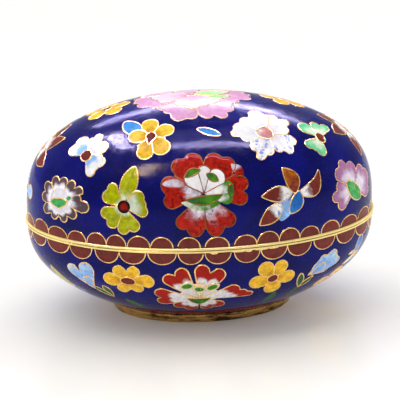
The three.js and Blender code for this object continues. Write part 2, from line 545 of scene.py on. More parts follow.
def span_of(lobes):
    """The first and last bearing that a petal's lobes reach."""
    edges = [(bearing, math.degrees(math.asin(radius / far))) for bearing, far, radius in lobes]
    return min(bearing - half for bearing, half in edges), max(bearing + half for bearing, half in edges)


def ring(hub, *petals, near=26, wire="closed"):
    """Petals round one hub, anticlockwise; those nearer than some degrees share the wire between them."""
    spans = [list(span_of(lobes)) for lobes in petals]
    for before, after in zip(spans, spans[1:] + spans[:1]):
        gap = (after[0] - before[1] + 180) % 360 - 180
        if gap < near:
            before[1] += gap / 2
            after[0] -= gap / 2
    return [petal(*lobes, hub=hub, span=span, wire=wire) for lobes, span in zip(petals, spans)]


def single(*lobes):
    """Petals of one lobe each."""
    return [(lobe,) for lobe in lobes]


def leaf(root, tip, width, bend=0.0, fullest=0.5, point=0.75, hook=0.0):
    """A leaf from root to tip, bent to its right, widest at a share of its length; a low point is blunt."""
    root, tip = Vector(root), Vector(tip)
    run = tip - root
    side = Vector((run.y, -run.x)).normalized()
    shift = math.log(0.5) / math.log(fullest)

    def place(u, v):
        along = (1 - math.cos(math.pi * v)) / 2
        half = width / 2 * max(math.sin(math.pi * along**shift), 0.0) ** point
        sway = bend * 4 * along * (1 - along) - hook * max(along - 0.6, 0) ** 2 / 0.16
        spot = root + run * along + side * (sway + half * (2 * u - 1))
        return (spot.x, spot.y)

    return Cell(place)


def disc(centre, across, up, turn=0.0):
    """A round or oval cell."""
    cos, sin = math.cos(math.radians(turn)), math.sin(math.radians(turn))

    def place(u, v):
        x, y = across * v * math.cos(TAU * u), up * v * math.sin(TAU * u)
        return (centre[0] + x * cos - y * sin, centre[1] + x * sin + y * cos)

    return Cell(place, "round")


def arch(width, height):
    """A border scallop standing on the rim."""

    def place(u, v):
        rise = math.sin(math.pi / 2 * v)
        half = width / 2 * math.sqrt(max(1 - rise**2.1, 0.0))
        return (half * (2 * u - 1), height * rise)

    return Cell(place, "open")


class Motif:
    """A group of cells laid on the enamel round a place on it, in millimetres across and up."""

    def __init__(self, name, ground, place, centre=(0, 0), rise=0.0, turn=0.0, spread=1.0, wire="gilt"):
        self.name = name
        self.ground = ground
        self.at, self.normal = ground.find_nearest(Vector(place) * MM)[:2]
        across = Vector((0, 0, 1)).cross(self.normal)
        self.across = across.normalized() if across.length > 0.2 else Vector((1, 0, 0))
        self.up = self.normal.cross(self.across)
        self.centre = Vector((centre[0], centre[1] + rise))
        self.spin = Matrix.Rotation(math.radians(turn), 2)
        self.spread = spread
        self.finishes = [wire]
        self.cells = []
        self.luck = random.Random(name)

    def lay(self, x, y, lift):
        """A point of the flat design dropped on the enamel, and lifted a little off it."""
        spot = (self.spin @ Vector((x, y)) * self.spread + self.centre) * MM
        start = self.at + self.across * spot.x + self.up * spot.y + self.normal * PLUMB
        hit, normal, _, _ = self.ground.ray_cast(start, -self.normal)
        if hit is None:
            raise RuntimeError(f"{self.name}: nothing to lay ({x:.1f}, {y:.1f}) on")
        return hit + normal * lift

    def add(self, finish, *cells, layer=0, wire=True):
        if finish not in self.finishes:
            self.finishes.append(finish)
        self.cells += [(cell, finish, layer, wire) for cell in cells]

    def wires(self):
        """The gilt wire round each cell, as one mesh."""
        radius = sizes().wire / 2
        curve = bpy.data.curves.new(self.name, "CURVE")
        curve.dimensions = "3D"
        curve.bevel_depth = radius
        curve.bevel_resolution = 1
        curve.use_fill_caps = True
        for cell, _, layer, wired in self.cells:
            if not wired:
                continue
            lift = BED + LAYER * layer + sizes().wire_proud - radius
            way = []
            for x, y in cell.edge():
                spot = self.lay(x, y, lift)
                if not way or (spot - way[-1]).length > WIRE_STEP:
                    way.append(spot)
            closed = cell.wire != "open"
            if not closed:
                way = way[self.luck.randrange(4) :]
            if closed and (way[0] - way[-1]).length < WIRE_STEP:
                way.pop()
            spline = curve.splines.new("POLY")
            spline.points.add(len(way) - 1)
            spline.use_cyclic_u = closed
            for point, spot in zip(spline.points, way):
                point.co = (*spot, 1)
                point.radius = 1 + WIRE_WAVER * noise.noise(spot / WAVER_LENGTH)
        holder = bpy.data.objects.new(self.name, curve)
        mesh = bpy.data.meshes.new_from_object(holder)
        bpy.data.objects.remove(holder)
        bpy.data.curves.remove(curve)
        return mesh

    def fill(self, bm, cell, finish, layer):
        """One cell's enamel: a unit grid bent to the cell, laid on the ground and given depth."""
        uv = bm.loops.layers.uv.verify()
        tint = bm.faces.layers.float.get("tint") or bm.faces.layers.float.new("tint")
        grid = bmesh.ops.create_grid(bm, x_segments=CELL_ACROSS, y_segments=CELL_ALONG, size=0.5)["verts"]
        faces = list({face for vert in grid for face in vert.link_faces})
        shade = self.luck.uniform(0.9, 1.1)
        for face in faces:
            face.material_index = self.finishes.index(finish)
            face[tint] = shade
            for loop in face.loops:
                loop[uv].uv = (loop.vert.co.x + 0.5, loop.vert.co.y + 0.5)
        for vert in grid:
            x, y = cell.point(vert.co.x + 0.5, vert.co.y + 0.5)
            vert.co = self.lay(x, y, BED + LAYER * layer)
        bmesh.ops.remove_doubles(bm, verts=grid, dist=0.01 * MM)
        kept = [face for face in faces if face.is_valid]
        under = bmesh.ops.extrude_face_region(bm, geom=kept, use_keep_orig=True)["geom"]
        low = [item for item in under if isinstance(item, bmesh.types.BMVert)]
        bmesh.ops.translate(bm, vec=-self.normal * CELL_DEPTH, verts=low)

    def finish(self, slot):
        bm = bmesh.new()
        if any(wired for _, _, _, wired in self.cells):
            wires = self.wires()
            bm.from_mesh(wires)
            bpy.data.meshes.remove(wires)
        for cell, finish, layer, _ in self.cells:
            self.fill(bm, cell, finish, layer)
        bmesh.ops.recalc_face_normals(bm, faces=bm.faces[:])
        return add_piece(bm, self.name, self.finishes)


def red_peony(m):
    """Six heart-shaped red petals round a white fan with green buds, over a green boat."""
    petals = ring(
        0.8,
        ((-9, 9.9, 1.9), (13, 10.1, 2.1)),
        ((48, 9.6, 2.3), (70, 8.6, 2.5)),
        ((108, 8.5, 2.65), (131, 9.5, 2.2)),
        ((165, 9.3, 2.4), (191, 8.7, 2.2)),
        ((233, 9.4, 2.0), (255, 9.7, 2.2)),
        ((287, 9.8, 2.2), (311, 9.5, 2.1)),
        near=12,
    )
    m.add("red", *petals[:4])
    m.add("low red", *petals[4:])
    m.add("red", leaf((7.6, 7.6), (10.6, 3.6), 2.6, -0.4), wire=False)
    m.add("smear", leaf((-11.0, 2.8), (-4.8, 2.3), 2.8, -0.45, point=0.5), layer=1, wire=False)
    fan = single((-14, 6.2, 1.6), (12, 6.2, 1.9), (50, 5.2, 2.4), (88, 5.4, 1.9), (126, 4.9, 2.3))
    blades = ring(0, *fan)
    m.add("leafy white", *blades[:2], layer=1, wire=False)
    m.add("white", *blades[2:], layer=1)
    m.add("green", leaf((-4.9, 4.4), (-0.8, 6.2), 1.9, -0.4), leaf((0.9, 5.2), (3.9, 3.2), 1.9), layer=2)
    m.add("green", leaf((7.0, 2.2), (7.4, -1.4), 1.5), layer=2)
    m.add("moss", leaf((4.6, -2.4), (-6.2, -2.2), 2.8, -0.9), layer=1, wire=False)
    m.add("green", leaf((-4.8, -1.5), (4.9, -0.5), 2.4, 0.9), layer=2)


def crown_peony(m):
    """The pink peony on top of the lid: scalloped outer petals round pale inner ones."""
    petals = ring(
        3.0,
        ((-20, 12.0, 1.9), (-5, 15.0, 1.9), (7, 15.4, 1.8), (20, 14.8, 1.8)),
        ((35, 14.2, 1.9), (49, 14.6, 1.9), (63, 13.6, 1.8)),
        ((77, 13.2, 1.9), (93, 14.0, 1.9), (108, 13.2, 1.8)),
        ((121, 13.6, 1.9), (135, 14.6, 1.9), (149, 14.0, 1.9)),
        ((164, 14.6, 1.8), (177, 14.6, 1.7), (191, 13.8, 1.8), (204, 11.2, 1.7)),
        ((218, 10.4, 1.8), (233, 11.2, 1.7), (250, 13.4, 2.0), (265, 12.5, 1.8)),
        ((285, 12.9, 1.8), (300, 14.4, 1.9), (314, 13.2, 1.8), (327, 12.0, 1.6)),
    )
    m.add("pink", *petals)
    petals = ring(
        0.8,
        ((-40, 7.2, 2.0), (-14, 7.6, 2.2)),
        ((82, 6.4, 2.2), (112, 6.6, 2.2)),
        ((156, 8.0, 2.3), (170, 9.0, 2.2), (190, 7.8, 1.9)),
        ((245, 6.2, 2.2), (270, 7.2, 2.2), (295, 6.8, 2.1)),
    )
    m.add("blush", *petals, layer=1)
    m.add("spring", leaf((4.6, -2.6), (11.2, -0.6), 2.6, 0.5), layer=2)
    m.add("spring", leaf((1.0, 0.0), (11.4, 4.4), 5.2, 0.6), layer=2)
    m.add("rose", disc((0, 0), 1.3, 1.0), layer=2)


def plum_blossom(m, petals, eye, layer=0):
    """A yellow blossom with round petals and a maroon eye."""
    m.add("yellow", *ring(1.0, *petals), layer=layer)
    m.add("maroon", eye, layer=layer + 1)


def even_plum(m):
    """A regular five-petalled plum blossom."""
    petals = single(*((18 + 72 * i, 4.5, 2.35) for i in range(5)))
    plum_blossom(m, petals, disc((0, 0), 1.45, 1.4))


def tall_plum(m):
    """A plum blossom with a teardrop eye and a blue leaf behind it."""
    m.add("sky", leaf((-9.0, 6.1), (-3.0, 0.4), 4.7, point=0.6))
    petals = single((-44, 4.7, 2.5), (39, 4.4, 2.3), (106, 4.9, 2.3), (180, 3.9, 2.4), (263, 5.2, 2.3))
    plum_blossom(m, petals, leaf((-0.1, -3.2), (0, 1.7), 2.8, fullest=0.68, point=0.7), layer=1)


def broad_plum(m):
    """A plum blossom wider than it is tall."""
    petals = (
        ((1, 5.1, 2.2),),
        ((59, 3.7, 1.7), (125, 3.7, 1.8)),
        ((180, 4.7, 2.3),),
        ((240, 3.5, 1.7), (313, 3.4, 1.7)),
    )
    plum_blossom(m, petals, disc((0, 0), 2.1, 1.3, -4))


def bowl_plum(m):
    """A plum blossom with petals of different sizes."""
    petals = single((-3, 4.4, 2.2), (61, 4.3, 1.9), (123, 4.2, 2.2), (191, 4.3, 2.3), (279, 3.8, 2.4))
    plum_blossom(m, petals, disc((0, 0), 1.6, 1.35, 20))


def white_blossom(m):
    """A large white flower with blue streaks in its lower petals and a rose eye."""
    cells = ring(
        1.5,
        ((7, 5.5, 1.7), (26, 8.1, 1.5), (51, 7.0, 1.8)),
        ((68, 6.5, 1.8), (86, 7.7, 2.3), (121, 6.7, 1.9)),
        ((149, 7.3, 1.9), (166, 8.6, 1.4), (180, 6.0, 1.6)),
        ((216, 6.0, 1.5), (235, 7.7, 1.4), (252, 5.7, 1.5)),
        ((286, 5.4, 1.4), (305, 7.3, 1.5), (329, 6.8, 1.7)),
    )
    m.add("white", *cells[:3])
    m.add("streaked", *cells[3:])
    m.add("rose", leaf((-2.9, 0.6), (1.9, -0.5), 4.6, -0.3, 0.56, 0.5), layer=1)


def mint_blossom(m):
    """A mint flower of three petals with a maroon eye."""
    petals = ring(
        0.9,
        ((27, 6.0, 1.4), (60, 4.6, 1.7)),
        ((113, 4.8, 2.2),),
        ((189, 5.3, 1.4), (212, 4.4, 1.3), (234, 4.6, 1.6)),
        near=10,
    )
    m.add("mint", *petals)
    m.add("maroon", disc((0.1, -0.1), 1.4, 1.7), layer=1)


def butterfly_blossom(m):
    """A white and light blue flower of three uneven petals."""
    right, left, low = ring(
        1.2,
        ((47, 4.6, 2.1), (86, 6.3, 1.4)),
        ((134, 5.8, 1.9), (165, 5.0, 2.0)),
        ((309, 5.2, 1.4), (330, 4.7, 1.2), (350, 5.1, 1.5)),
    )
    m.add("white", right)
    m.add("white blue", left, low)
    m.add("maroon", disc((0, 0), 1.7, 1.7), layer=1)


def smoke_blossom(m):
    """A white flower edged in smoky brown, with a green eye."""
    m.add("mist", disc((-0.2, 0.1), 4.2, 3.6), wire=False)
    petals = ring(
        3.3,
        ((-2, 8.2, 1.5), (14, 6.0, 1.3)),
        ((31, 7.1, 1.3), (55, 5.9, 1.3)),
        ((85, 5.1, 1.4), (117, 5.5, 1.4)),
        ((150, 6.2, 1.3), (178, 5.8, 1.4)),
        ((212, 5.8, 1.4), (246, 4.6, 1.2)),
        ((290, 4.7, 1.2), (328, 5.4, 1.4)),
        wire="open",
    )
    m.add("smoke", *petals, layer=1)
    m.add("jade", leaf((-3.3, -0.5), (2.6, 0.2), 2.6, 0.5, point=0.5), layer=2)
    m.add("jade", leaf((2.4, 0.8), (3.9, 1.7), 1.1), layer=2, wire=False)


def olive_blossom(m):
    """A yellow-green flower with one tall leaf and a red eye."""
    m.add("olive", leaf((-0.4, 1.6), (1.6, 10.9), 4.7, 0.4, point=0.65, hook=-0.5))
    right, left, low_left, low = ring(
        0.8,
        ((-11, 5.2, 1.4), (10, 4.6, 1.5), (36, 4.5, 1.8)),
        ((127, 5.8, 1.4), (151, 5.0, 1.8)),
        ((202, 5.3, 1.6), (234, 5.5, 1.6)),
        ((269, 6.0, 1.5), (298, 5.6, 1.7)),
        near=12,
    )
    m.add("olive", left, low_left, low, layer=1)
    m.add("pale olive", right, layer=1)
    m.add("ruby", disc((0, 0), 1.75, 1.75), layer=2, wire=False)


def orchid(m):
    """An orchid with brown and white petals, one amber, over a blue lip."""
    m.add("amber", leaf((-0.4, -0.2), (-3.1, 6.9), 4.2, 0.9, 0.45))
    m.add("brown", leaf((-1.4, 0.2), (-10.4, 0.1), 4.2, 0, 0.42, 0.9))
    m.add("brown", leaf((0.2, -0.4), (8.6, 3.3), 4.0, 1.5, 0.55, 0.6, hook=1.6))
    m.add("brown", leaf((-4.9, -2.6), (-11.3, -7.6), 4.2, -0.3, 0.45, 0.8))
    m.add("bleed", leaf((0.0, 0.2), (-5.4, -7.2), 5.0, 0.7, 0.5, 0.6), wire=False)
    m.add("azure", leaf((0.9, 0.1), (-2.3, -5.5), 3.7, -0.5, 0.5, 0.6), layer=1)


def mauve_blossom(m):
    """A mauve and white flower with a green heart."""
    petals = ring(
        0.5,
        ((-14, 6.7, 2.2), (13, 7.4, 2.5), (38, 6.2, 2.0)),
        ((84, 5.4, 2.2), (110, 7.6, 1.6), (133, 6.6, 2.2)),
        ((162, 5.7, 1.8), (184, 7.6, 1.6), (208, 6.2, 1.8)),
    )
    m.add("mauve", *petals)
    m.add("jade", leaf((-2.9, 2.6), (3.0, -3.2), 4.2, 0.2, 0.55, 0.5), layer=1)


def pointed_blossom(m, bearings):
    """A flower of long pointed petals, brown at the tips and white at the heart."""
    for bearing in bearings:
        way = math.radians(bearing)
        m.add("brown", leaf((0, 0), (9.9 * math.cos(way), 9.9 * math.sin(way)), 4.6, 0.6, 0.5, 0.8))
    m.add("rose", disc((0, 0), 1.5, 1.4), layer=1)


def left_pointed_blossom(m):
    pointed_blossom(m, (38, -22, 88, 152, 218))


def right_pointed_blossom(m):
    pointed_blossom(m, (169, 116, 236, 55, -20))


def blue_leaf(m):
    m.add("sky", leaf((-3.1, 1.3), (3.1, -1.4), 2.5, 0, 0.5, 0.55))


def blue_flower(m, count, near):
    """A light blue flower of round petals with a maroon eye."""
    petals = single(*((-5 + 360 / count * i, 4.4, 2.3) for i in range(count)))
    m.add("haze", *ring(0.8, *petals, near=near))
    m.add("maroon", disc((0, 0), 1.3, 1.3), layer=1)


def blue_blossom(m):
    blue_flower(m, 4, 26)


def blue_trefoil(m):
    blue_flower(m, 3, 0)


def lotus(m):
    """The lotus on the bowl: red-tipped petals round white stems with green buds."""
    m.add("white", disc((0, 1.4), 5.6, 3.4), wire=False)
    petals = ring(
        1.0,
        ((1, 13.6, 1.0), (6, 11.5, 1.5), (18, 9.4, 2.0)),
        ((61, 10.2, 1.9), (87, 10.2, 2.0)),
        ((118, 10.6, 1.9), (138, 11.2, 1.8)),
        ((169, 10.6, 1.9), (190, 9.8, 1.9)),
        ((217, 6.6, 1.8), (248, 6.0, 1.8)),
        ((292, 5.6, 1.7), (323, 6.4, 1.8)),
        near=4,
    )
    m.add("red tips", *petals, layer=1)
    m.add("white", *ring(0, *single((56, 5.7, 1.8), (93, 4.8, 1.6), (124, 6.4, 1.8))), layer=2)
    m.add("bud", disc((-3.6, 5.4), 2.0, 1.2, 15), disc((3.3, 4.8), 2.0, 1.15, 25), layer=3)
    m.add("bud", disc((-0.3, 4.2), 1.8, 1.1, -10), layer=3)
    m.add("green", leaf((-3.4, 0.2), (3.0, 0.2), 3.0, 1.6), layer=3)


def tulip(m):
    """A blue tulip with an inner loop."""
    m.add("haze", petal((95, 7.5, 2.3), (128, 8.4, 1.8)))
    m.add("haze", petal((104, 3.7, 1.6), hub=0.6), layer=1)


def leaning_tulip(m):
    """A blue tulip that leans to the right."""
    m.add("haze", petal((9, 5.6, 1.3), (16, 9.6, 1.3), (35, 8.8, 1.8), (49, 6.2, 1.4), (52, 3.6, 1.1)))
    m.add("haze", petal((26, 4.4, 1.6), hub=0.6), layer=1)


def forked_stem(m):
    """A dark stem that forks into two leaves."""
    m.add("fern", leaf((2.5, -2.9), (-2.9, 1.8), 1.8, 0.2))
    m.add("fern", leaf((2.4, -2.4), (0.8, 2.5), 2.0, 0.3, 0.6, 0.6))


def long_stem(m):
    """A dark stem with a leaf on each side of its top."""
    m.add("fern", leaf((-1.9, -8.4), (-0.2, -1.8), 1.8), wire=False)
    m.add("fern", leaf((-0.2, -3.2), (-1.7, 3.4), 2.0, 0, 0.6, 0.6), layer=1)
    m.add("fern", leaf((-0.3, -2.8), (3.0, 1.2), 1.7), layer=1)


def low_leaf(m):
    m.add("fern", leaf((0, -4.2), (0, 3.8), 2.8, 0.2), wire=False)


def green_leaf(m):
    m.add("olive", leaf((2.0, -5.0), (-2.9, 2.9), 3.4, -0.8))


def pale_leaf(m):
    m.add("pale olive", leaf((-3.4, -1.9), (2.6, 1.2), 1.9))


def hooked_leaf(m):
    """A blue leaf with a small loop at its tip."""
    m.add("sky", leaf((2.2, 3.0), (0.2, -2.4), 3.2, 0, 0.4, 0.6))
    m.add("white blue", leaf((0.4, -2.0), (-3.1, -1.8), 1.0, 0.3))


# Flowers of the front, which the back repeats: the pattern, its place on the enamel, and how it is set
# there: the shift of its centre, its turn and spread, and the metal of its wire
LID_FRONT = (
    (red_peony, (-1.7, -32.8, 42.6), {"centre": (-0.2, 0.7), "wire": "tarnish"}),
    (tall_plum, (-15.2, -20.5, 55.8), {"centre": (0.1, 0.7)}),
    (white_blossom, (16.4, -20.2, 55.8), {"centre": (0.3, 0)}),
    (mint_blossom, (31.1, -16.2, 52.9), {"centre": (1.3, -0.3)}),
    (butterfly_blossom, (-32.3, -17.4, 51.5), {"centre": (0, -0.75)}),
    (smoke_blossom, (-39.0, -20.2, 40.1), {"centre": (-1.7, -1.4)}),
    (olive_blossom, (-23.7, -29.1, 40.5), {"centre": (0.5, -1.0)}),
    (orchid, (21.9, -29.8, 40.6), {"centre": (2.0, 0.8)}),
    (mauve_blossom, (40.6, -18.9, 39.4), {"centre": (1.0, -1.2)}),
)
# Flowers laid once, each with its name
LID_REST = (
    ("crown_peony", crown_peony, (-2.4, -1.5, 62.7), {"wire": "old gilt"}),
    ("front_blue_leaf", blue_leaf, (0.8, -20.8, 57.2), {}),
    ("left_plum", even_plum, (-26.0, 2.0, 58.8), {"turn": 14}),
    ("right_plum", even_plum, (24.5, 4.0, 59.0), {"turn": -14}),
    ("left_pointed_blossom", left_pointed_blossom, (-43.5, -4.4, 49.0), {"centre": (-5.2, 0)}),
    ("right_pointed_blossom", right_pointed_blossom, (40.9, -7.4, 50.6), {"centre": (6.2, 1.0)}),
    ("left_blue_trefoil", blue_trefoil, (-48.2, -7.8, 37.7), {"centre": (-5.5, 0.2), "spread": 0.85}),
    ("right_blue_blossom", blue_blossom, (48.0, 7.5, 39.4), {"spread": 0.85}),
)

BOWL_FRONT = (
    (lotus, (-2.3, -32.0, 16.5), {"centre": (-1.0, -5.2)}),
    (broad_plum, (-22.7, -29.0, 18.4), {"centre": (-0.25, -0.6)}),
    (bowl_plum, (16.8, -30.5, 17.8), {"centre": (0.1, -0.7)}),
    (tulip, (-31.6, -24.1, 17.0), {"centre": (-1.5, -4.4)}),
    (leaning_tulip, (27.7, -26.3, 17.1), {"centre": (0, -1.5)}),
    (forked_stem, (-29.5, -22.3, 13.0), {}),
    (long_stem, (26.0, -25.2, 14.1), {}),
)
BOWL_REST = (
    ("front_left_leaf", low_leaf, (-20.7, -21.6, 8.3), {"turn": 30}),
    ("front_right_leaf", low_leaf, (16.6, -24.1, 9.1), {"turn": -12}),
    ("left_leaf", green_leaf, (-40.6, -15.6, 15.7), {"centre": (-0.8, -0.5)}),
    ("right_plum", even_plum, (34.8, -18.2, 12.8), {"centre": (2.6, -4.2)}),
    ("right_hooked_leaf", hooked_leaf, (43.4, -16.0, 21.2), {"centre": (-0.7, -0.8)}),
    ("right_pale_leaf", pale_leaf, (41.9, -15.4, 17.1), {"centre": (-0.6, 0)}),
    ("right_blossom", blue_blossom, (47.0, 3.0, 18.5), {"centre": (0, -0.8), "spread": 0.85}),
    ("left_blossom", blue_blossom, (-47.0, -1.0, 18.5), {"centre": (0, -0.8), "spread": 0.85}),
)


def lay_flowers(half, profile, front, rest, back_rise):
    """Lay the front's flowers, the same again half a turn round on the back, and the rest once."""
    ground = outer_skin(profile)
    flowers = list(rest)
    for side, way, rise in (("front_", 1, 0), ("back_", -1, back_rise)):
        for pattern, (x, y, z), setting in front:
            place = (way * x, way * y, z)
            flowers.append((side + pattern.__name__, pattern, place, {"rise": rise, **setting}))
    for name, pattern, place, setting in flowers:
        motif = Motif(f"{half}_{name}", ground, place, **setting)
        pattern(motif)
        motif.finish(f"{half}_enamel")


def outer_skin(profile):
    """The enamel's ground on its own, for the ornament to be laid on."""
    sink = sizes().ground_sink
    plan = grown(PLAN, -sink)
    (share, mouth), (_, inside) = profile[:2]
    bm = turned([(share, 2 * mouth - inside)] + profile)
    bmesh.ops.scale(bm, vec=(plan.x, plan.y, 1), verts=bm.verts[:])
    tree = BVHTree.FromBMesh(bm)
    bm.free()
    return tree


def lid_ground():
    return lid_profile(LID_LOW.z, LID_HIGH.z - LID_LOW.z - sizes().ground_sink, LID_STEPS)


def bowl_ground():
    return bowl_profile(BOWL_HIGH.z, BOWL_HIGH.z - BOWL_LOW.z, BOWL_STEPS)


# Border scallops of the front: how far along the rim from the middle of the front, and how wide
LID_SCALLOPS = (
    (-52.4, 7.0), (-45.4, 7.4), (-38.4, 5.9), (-32.3, 5.8), (-26.5, 5.6), (-20.1, 6.2),
    (-13.7, 6.0), (-6.4, 6.0), (1.1, 6.5), (9.0, 6.2), (15.5, 6.3), (21.8, 6.2),
    (28.1, 6.2), (35.3, 6.7), (43.0, 7.4), (50.9, 7.6),
)
BOWL_SCALLOPS = (
    (-54.3, 8.0), (-45.5, 8.3), (-37.3, 7.1), (-29.2, 6.9), (-21.9, 7.3), (-13.8, 7.6),
    (-5.9, 6.7), (1.4, 7.0), (9.4, 7.1), (17.1, 7.6), (24.9, 7.4), (33.2, 7.4),
    (41.7, 8.1), (50.2, 8.2),
)

# Where gilding ran down from the bowl's rim: the way along it, the width and how far down
GILT_RUNS = ((0.3, 2.2, 0.5), (7.4, 4.6, 0.35), (9.8, 2.0, 0.5), (13.6, 4.0, 0.35), (17.0, 3.0, 0.35))


def whole_border(front, luck):
    """The front's scallops, carried on round the back at their own pitch."""
    (first, _), (last, wide) = front[0], front[-1]
    gap = rim_length() - (last - first)
    count = round(gap / wide)
    pitch = gap / count
    back = []
    for i in range(1, count):
        stray = luck.uniform(-SCALLOP_STRAY, SCALLOP_STRAY)
        back.append((last + pitch * (i + stray), pitch * SCALLOP_SHARE))
    return list(front) + back


def rim_points():
    """Fine steps round the body's oval, from the middle of the front, with the way gone at each."""
    far, points = 0.0, []
    for i in range(RIM_STEPS + 1):
        turn = TAU * (i / RIM_STEPS - 0.25)
        spot = Vector((PLAN.x * math.cos(turn), PLAN.y * math.sin(turn)))
        if points:
            far += (spot - points[-1][1]).length
        points.append((far, spot))
    return points


def rim_length():
    return rim_points()[-1][0] / MM


def along_the_rim(way, level):
    """The place at a way along the body's oval, in millimetres, and at a level."""
    points = rim_points()
    want = way * MM % points[-1][0]
    spot = next(spot for far, spot in points if far >= want)
    return (spot.x / MM, spot.y / MM, level / MM)


class BOX_OT_shells(Operator):
    """Make the enamelled lid and bowl, hollow and even-walled"""

    bl_idname = "cloisonne.shells"
    bl_label = "Lid and bowl"

    def execute(self, context):
        sink, wall = sizes().ground_sink, sizes().wall
        outer, inner = grown(PLAN, -sink), grown(PLAN, -wall)
        inside = lid_profile(LID_LOW.z, LID_HIGH.z - LID_LOW.z - wall, INSIDE_STEPS)
        bm = shell(lid_ground(), outer, inside, inner)
        add_piece(bm, "lid_enamel", ["cobalt"], "lid_shell")
        inside = bowl_profile(BOWL_HIGH.z, BOWL_HIGH.z - BOWL_LOW.z - wall, INSIDE_STEPS)
        bm = shell(bowl_ground(), outer, inside, inner)
        add_piece(bm, "bowl_enamel", ["cobalt"], "bowl_shell")
        return {"FINISHED"}


class BOX_OT_rims(Operator):
    """Make the gilt rims that meet where the lid rests on the bowl"""

    bl_idname = "cloisonne.rims"
    bl_label = "Rims"

    def execute(self, context):
        s = sizes()
        proud = LID_RIM_HIGH.x - PLAN.x
        low, high = LID_RIM_LOW.z, LID_RIM_HIGH.z
        band = [(-s.wall, low), (proud, low), (proud, high), (-s.wall, high)]
        bm = oval_band(rounded(band, RIM_ROUNDING), PLAN, RIM_UNEVEN)
        add_piece(bm, "lid_rim_band", ["rim gilt"], "lid_rim")
        low, top = BOWL_RIM_LOW.z, BOWL_RIM_HIGH.z
        lip_out = -s.wall - s.lip_gap
        lip_in = lip_out - s.lip
        seat = PARTING_Z
        band = [(lip_in, low), (proud, low), (proud, seat), (lip_out, seat), (lip_out, top), (lip_in, top)]
        bm = oval_band(rounded(band, RIM_ROUNDING), PLAN, RIM_UNEVEN)
        add_piece(bm, "bowl_rim_band", ["rim gilt"], "bowl_rim")
        return {"FINISHED"}


class BOX_OT_foot(Operator):
    """Make the brass foot ring and the dark band above it"""

    bl_idname = "cloisonne.foot"
    bl_label = "Foot"

    def execute(self, context):
        thick = sizes().foot_band
        low, high = FOOT_LOW.z, FOOT_HIGH.z
        band = [(-thick, low), (0, low), (0, high), (-thick, high)]
        bm = oval_band(rounded(band, FOOT_ROUNDING), FOOT_PLAN, FOOT_UNEVEN)
        add_piece(bm, "foot_band", ["old brass"], "foot_ring")
        wall = [(share, height) for share, height in bowl_ground() if share > FLAT_SHARE]
        skin = [(share, height) for share, height in wall if low < height - high < BASE_BAND]
        skin.append((FLAT_SHARE, high))
        under = [(share - BASE_DEPTH, height + BASE_DEPTH * PLAN.y) for share, height in reversed(skin)]
        bm = turned([(share + BASE_LIFT, height) for share, height in skin] + under, closed=True)
        plan = grown(PLAN, -sizes().ground_sink)
        bmesh.ops.scale(bm, vec=(plan.x, plan.y, 1), verts=bm.verts[:])
        tint = bm.faces.layers.float.new("tint")
        for face in bm.faces:
            face[tint] = 1
        add_piece(bm, "base_band", ["garnet"])
        return {"FINISHED"}


class BOX_OT_borders(Operator):
    """Make the maroon scallops along both rims, and the gilding that ran down over them"""

    bl_idname = "cloisonne.borders"
    bl_label = "Scallop borders"

    def execute(self, context):
        s = sizes()
        luck = random.Random(7)
        halves = (
            ("lid_border", lid_ground(), LID_LOW.z, 0, LID_SCALLOPS, s.lid_scallop, "lid_enamel"),
            ("bowl_border", bowl_ground(), BOWL_HIGH.z, 180, BOWL_SCALLOPS, s.bowl_scallop, "bowl_enamel"),
        )
        for name, profile, level, turn, front, height, slot in halves:
            ground = outer_skin(profile)
            whole = bmesh.new()
            for way, width in whole_border(front, luck):
                m = Motif(name, ground, along_the_rim(way, level), turn=turn)
                m.luck = luck
                m.add("maroon", arch(width, height / MM * luck.uniform(*SCALLOP_HEIGHTS)))
                part = m.finish(slot)
                whole.from_mesh(part.data)
                bpy.data.objects.remove(part)
            add_piece(whole, name, ["gilt", "maroon"])
        self.gilt_runs()
        return {"FINISHED"}

    def gilt_runs(self):
        """Small tongues of gilding that ran down from the bowl's rim."""
        ground = outer_skin(bowl_ground())
        for i, (way, width, drop) in enumerate(GILT_RUNS, 1):
            m = Motif(f"gilt_run_{i}", ground, along_the_rim(way, BOWL_HIGH.z), turn=180)
            m.add("gilt", arch(width, drop), layer=2, wire=False)
            m.finish("rim_brass")


class BOX_OT_lid_flowers(Operator):
    """Lay the flowers of the lid on its enamel"""

    bl_idname = "cloisonne.lid_flowers"
    bl_label = "Lid flowers"

    def execute(self, context):
        lay_flowers("lid", lid_ground(), LID_FRONT, LID_REST, LID_BACK_RISE)
        return {"FINISHED"}


class BOX_OT_bowl_flowers(Operator):
    """Lay the flowers of the bowl on its enamel"""

    bl_idname = "cloisonne.bowl_flowers"
    bl_label = "Bowl flowers"

    def execute(self, context):
        lay_flowers("bowl", bowl_ground(), BOWL_FRONT, BOWL_REST, BOWL_BACK_RISE)
        return {"FINISHED"}


# The photograph's view: the camera's bearing and height, and where its middle falls
VIEW_DISTANCE = 450 * MM
VIEW_ELEVATION = math.radians(18.17)
VIEW_SIDEWAYS = math.radians(5.16)
VIEW_ROLL = math.radians(0.97)
VIEW_PIVOT = Vector((0, 0, 30 * MM))
VIEW_AIM = Vector((-0.1 * MM, 0, 30.85 * MM))
LENS = 140.4
LAVENDER = (0.66, 0.58, 1.0)


